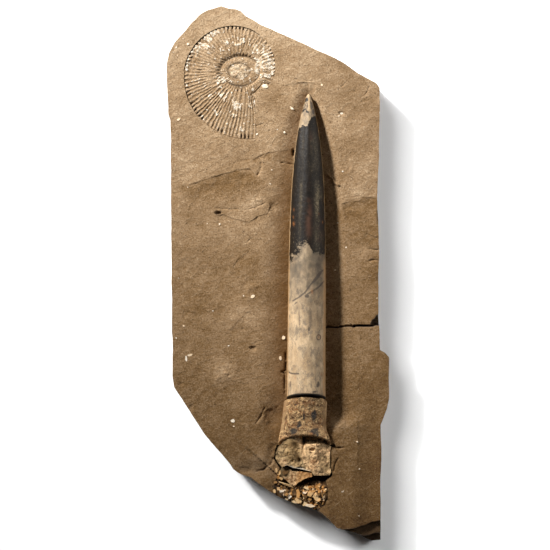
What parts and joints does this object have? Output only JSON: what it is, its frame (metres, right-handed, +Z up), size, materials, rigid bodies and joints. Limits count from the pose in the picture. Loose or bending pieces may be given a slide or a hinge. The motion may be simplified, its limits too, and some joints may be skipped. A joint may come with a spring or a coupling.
{
  "type": "belemnite fossil on a shale slab",
  "caption": "Long pointed belemnite with its crushed chambered front end, half sunk in a flat slab of brown shale beside a flattened ribbed ammonite.",
  "frame": {"origin": "under the middle of the slab's box, on the surface that its flat back rests on", "axes": "+Y along the slab towards the belemnite's tip, +X across it away from the ammonite, +Z up through the face"},
  "size_m": [0.134, 0.322, 0.0354],
  "materials": {
    "shale": "matt brown bedded shale",
    "guard_calcite": "polished dark calcite, tan towards the break",
    "collar_calcite": "mottled tan calcite",
    "chamber_fill": "rough grey-brown clay and calcite",
    "orange_calcite": "tan-orange calcite plate",
    "pale_calcite": "crumbled pale calcite",
    "ammonite_shell": "brown shale cast with chalky shell remains"
  },
  "bodies": {
    "root": {"shale_slab": "shale", "belemnite_guard": "guard_calcite", "alveolus_collar": "collar_calcite", "phragmocone_block": "chamber_fill", "phragmocone_wedge": "orange_calcite", "phragmocone_rubble": "pale_calcite", "ammonite": "ammonite_shell"}
  },
  "joints": []
}
